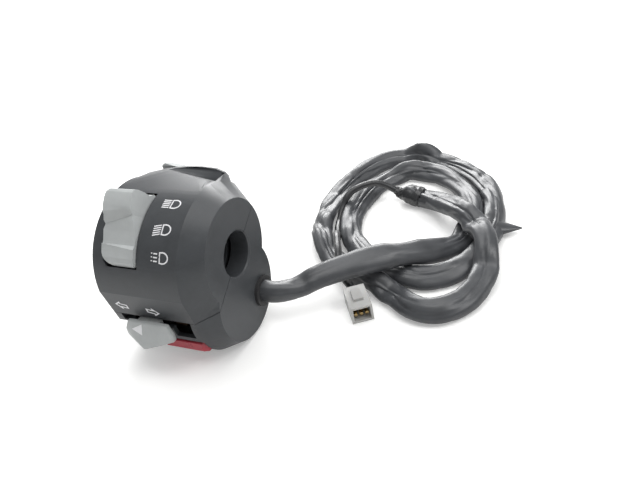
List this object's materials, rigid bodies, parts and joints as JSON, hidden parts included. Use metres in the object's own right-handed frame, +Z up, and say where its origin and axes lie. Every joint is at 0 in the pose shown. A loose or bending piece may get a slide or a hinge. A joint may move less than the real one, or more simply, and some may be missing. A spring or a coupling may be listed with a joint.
{
  "type": "handlebar switch cluster",
  "caption": "Split clamp-on handlebar switch case with lamp rocker, turn-signal slider, horn button, passing trigger and a coiled sleeved loom with connector.",
  "frame": {"origin": "on the handlebar axis, inside the clamp bore near its mid-length", "axes": "+X along the bar towards the middle of the bike, +Y away from the rider, +Z up"},
  "size_m": [0.1672, 0.223, 0.0875],
  "materials": {
    "case_plastic": "fine matte grain",
    "grey_plastic": "satin",
    "red_plastic": "satin",
    "inner_plastic": "matte",
    "board": "pressed laminate",
    "steel": "zinc plated",
    "spring_steel": "drawn wire",
    "brass": "turned",
    "bronze": "rolled strip",
    "rubber": "matte",
    "sleeve": "glossy soft PVC",
    "wire": "glossy insulation",
    "nylon": "natural nylon"
  },
  "bodies": {
    "case": {"upper_case": "case_plastic", "lower_case": "case_plastic", "clamp_screws": "steel", "clamp_inserts": "brass", "light_pivot_pin": "steel", "light_board": "board", "light_rivets": "brass", "light_board_screws": "steel", "turn_guide": "board", "turn_board": "board", "turn_rivets": "brass", "turn_guide_screws": "steel", "horn_spring": "spring_steel", "horn_board": "board", "horn_contact": "brass", "pass_pivot_pin": "steel", "pass_spring": "spring_steel", "pass_block": "board", "pass_leaves": "bronze", "inner_wires": "wire", "loom_grommet": "rubber", "loom_tie": "inner_plastic", "loom_lead": "sleeve", "loom_coil": "sleeve", "loom_tail": "sleeve", "plug_housing": "nylon", "plug_terminals": "brass"},
    "light_rocker": {"light_knob": "grey_plastic", "light_contact": "bronze", "light_detent_ball": "steel", "light_detent_spring": "spring_steel"},
    "turn_slider": {"turn_carriage": "inner_plastic", "turn_contact": "bronze", "turn_detent_ball": "steel", "turn_detent_spring": "spring_steel", "turn_cancel_spring": "spring_steel"},
    "turn_button": {"turn_knob": "grey_plastic"},
    "horn": {"horn_button": "red_plastic", "horn_plunger": "bronze"},
    "passing": {"pass_trigger": "grey_plastic"}
  },
  "joints": [
    {"name": "light_rock", "type": "hinge", "parent": "case", "child": "light_rocker", "pos_m": [-0.0134, -0.01304, 0.01597], "axis": [1, 0, 0], "range_deg": [-11, 11]},
    {"name": "turn_slide", "type": "slide", "parent": "case", "child": "turn_slider", "axis": [1, 0, 0], "range_m": [-0.005, 0.005]},
    {"name": "turn_cancel", "type": "slide", "parent": "turn_slider", "child": "turn_button", "axis": [0, 1, 0], "range_m": [0, 0.002], "stiffness_N_per_m": 400, "deforming": ["turn_cancel_spring"]},
    {"name": "horn_push", "type": "slide", "parent": "case", "child": "horn", "axis": [0, 1, 0], "range_m": [0, 0.0025], "stiffness_N_per_m": 500, "deforming": ["horn_spring"]},
    {"name": "passing_pull", "type": "hinge", "parent": "case", "child": "passing", "pos_m": [-0.017, 0.02, 0.02], "axis": [-1, 0, 0], "range_deg": [0, 7], "stiffness_Nm_per_rad": 0.3}
  ]
}
